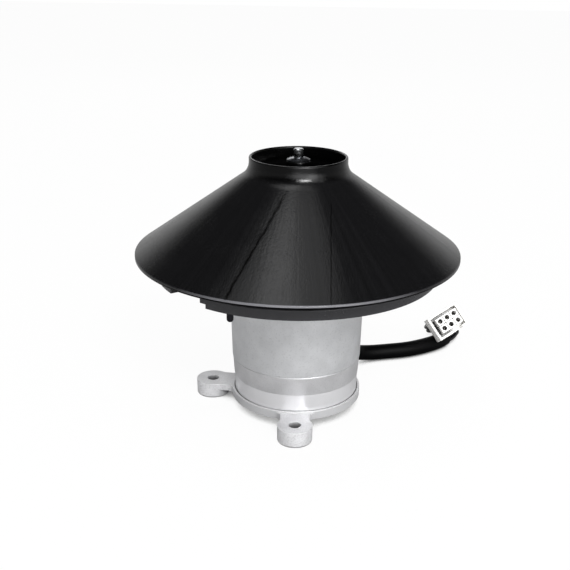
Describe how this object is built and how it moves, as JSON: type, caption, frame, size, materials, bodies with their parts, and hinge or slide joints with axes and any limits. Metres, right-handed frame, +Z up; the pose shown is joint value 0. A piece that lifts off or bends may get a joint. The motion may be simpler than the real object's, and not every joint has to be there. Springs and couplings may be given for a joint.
{
  "type": "boiler fan motor with impeller",
  "caption": "Brushless blower motor with a closed mixed-flow impeller wheel, cast three-foot mounting base and a sleeved cable that ends in a multi-way connector.",
  "frame": {"origin": "under the shaft, on the plane that the three foot bosses stand on", "axes": "+Z up along the shaft, out of the inlet collar; -X through the middle foot of the three"},
  "size_m": [0.1573, 0.1735, 0.1229],
  "materials": {
    "wheel_plastic": "satin, near black",
    "bush_brass": "turned",
    "spring_steel": "blued",
    "pin_steel": "blackened",
    "shaft_steel": "ground",
    "sheet_steel": "stacked sheets",
    "magnet_ferrite": "matte",
    "bearing_steel": "ground",
    "cage_brass": "satin",
    "can_aluminium": "fine cast",
    "ring_aluminium": "satin cast",
    "base_aluminium": "cast with a turned band",
    "cap_steel": "pressed sheet",
    "screw_steel": "zinc plated",
    "seal_rubber": "matte",
    "insulator_plastic": "moulded",
    "winding_copper": "enamelled copper",
    "board_laminate": "solder resist",
    "chip_plastic": "moulded",
    "capacitor_sleeve": "shrink sleeve",
    "sleeve_plastic": "soft satin",
    "wire_plastic": "satin",
    "connector_plastic": "moulded, off-white",
    "contact_tin": "tinned"
  },
  "bodies": {
    "motor": {"motor_can": "can_aluminium", "bearing_cup": "can_aluminium", "middle_ring": "ring_aluminium", "mounting_base": "base_aluminium", "bottom_cap": "cap_steel", "clamp_screws": "screw_steel", "wave_washer": "spring_steel", "shaft_seal": "seal_rubber", "upper_bearing_outer_ring": "bearing_steel", "lower_bearing_outer_ring": "bearing_steel", "stator_core": "sheet_steel", "upper_insulator": "insulator_plastic", "lower_insulator": "insulator_plastic", "stator_coils": "winding_copper", "control_board": "board_laminate", "hall_sensors": "chip_plastic", "board_capacitors": "capacitor_sleeve", "cable_grommet": "seal_rubber", "cable_sleeve": "sleeve_plastic", "lead_wires": "wire_plastic", "connector_housing": "connector_plastic", "connector_contacts": "contact_tin"},
    "rotor": {"shroud": "wheel_plastic", "blades": "wheel_plastic", "hub_plate": "wheel_plastic", "hub_bush": "bush_brass", "hub_clip": "spring_steel", "balance_pin": "pin_steel", "shaft": "shaft_steel", "rotor_core": "sheet_steel", "rotor_magnets": "magnet_ferrite", "sensor_magnet": "magnet_ferrite", "shaft_circlip": "spring_steel", "upper_bearing_inner_ring": "bearing_steel", "lower_bearing_inner_ring": "bearing_steel"},
    "upper_ball_set": {"upper_bearing_balls": "bearing_steel", "upper_bearing_cage": "cage_brass"},
    "lower_ball_set": {"lower_bearing_balls": "bearing_steel", "lower_bearing_cage": "cage_brass"}
  },
  "joints": [
    {"name": "wheel_spin", "type": "hinge", "parent": "motor", "child": "rotor", "pos_m": [0, 0, 0.045], "axis": [0, 0, 1], "continuous": true},
    {"name": "upper_balls_roll", "type": "hinge", "parent": "motor", "child": "upper_ball_set", "pos_m": [0, 0, 0.076], "axis": [0, 0, 1], "continuous": true},
    {"name": "lower_balls_roll", "type": "hinge", "parent": "motor", "child": "lower_ball_set", "pos_m": [0, 0, 0.0124], "axis": [0, 0, 1], "continuous": true}
  ],
  "couplings": [
    {"joint": "upper_balls_roll", "follows": "wheel_spin", "ratio": 0.368},
    {"joint": "lower_balls_roll", "follows": "wheel_spin", "ratio": 0.368}
  ]
}
